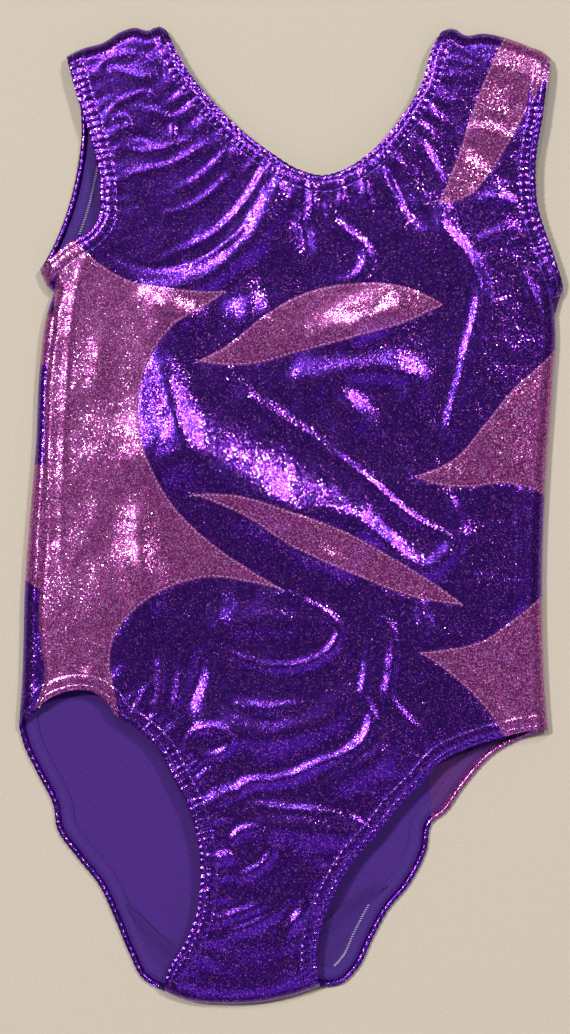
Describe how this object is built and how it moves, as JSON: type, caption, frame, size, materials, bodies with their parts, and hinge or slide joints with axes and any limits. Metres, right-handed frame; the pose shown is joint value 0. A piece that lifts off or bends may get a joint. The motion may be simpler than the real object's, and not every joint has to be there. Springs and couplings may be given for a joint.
{
  "type": "gymnastics leotard",
  "caption": "Sleeveless purple foil gymnastics leotard with pink glitter insets and elastic hems, lying flat, front up.",
  "frame": {"origin": "middle of the lying garment's box, on the surface it lies on", "axes": "+Y towards the shoulders, +Z out of the surface through the back panel and then the front, +X to the wearer's left"},
  "size_m": [0.279, 0.501, 0.0136],
  "materials": {
    "purple_foil": "metallic foil on purple stretch knit",
    "pink_glitter": "fine multicolour glitter foil on pink stretch knit",
    "lining": "matte purple knit",
    "elastic": "matte knitted elastic",
    "overlock_thread": "woolly overlock thread",
    "topstitch_thread": "polyester thread"
  },
  "bodies": {
    "root": {"front_body": "purple_foil", "front_side_inset": "pink_glitter", "front_chest_leaf": "pink_glitter", "front_waist_leaf": "pink_glitter", "front_flank_inset": "pink_glitter", "front_hip_inset": "pink_glitter", "front_shoulder_inset": "pink_glitter", "back_body": "purple_foil", "back_upper_inset": "pink_glitter", "back_lower_inset": "pink_glitter", "back_hip_inset": "pink_glitter", "crotch_lining": "lining", "neck_elastic": "elastic", "left_arm_elastic": "elastic", "right_arm_elastic": "elastic", "left_leg_elastic": "elastic", "right_leg_elastic": "elastic", "left_side_seam": "overlock_thread", "right_side_seam": "overlock_thread", "left_shoulder_seam": "overlock_thread", "right_shoulder_seam": "overlock_thread", "crotch_seam": "overlock_thread", "neck_topstitch": "topstitch_thread", "left_arm_topstitch": "topstitch_thread", "right_arm_topstitch": "topstitch_thread", "left_leg_topstitch": "topstitch_thread", "right_leg_topstitch": "topstitch_thread"}
  },
  "joints": []
}
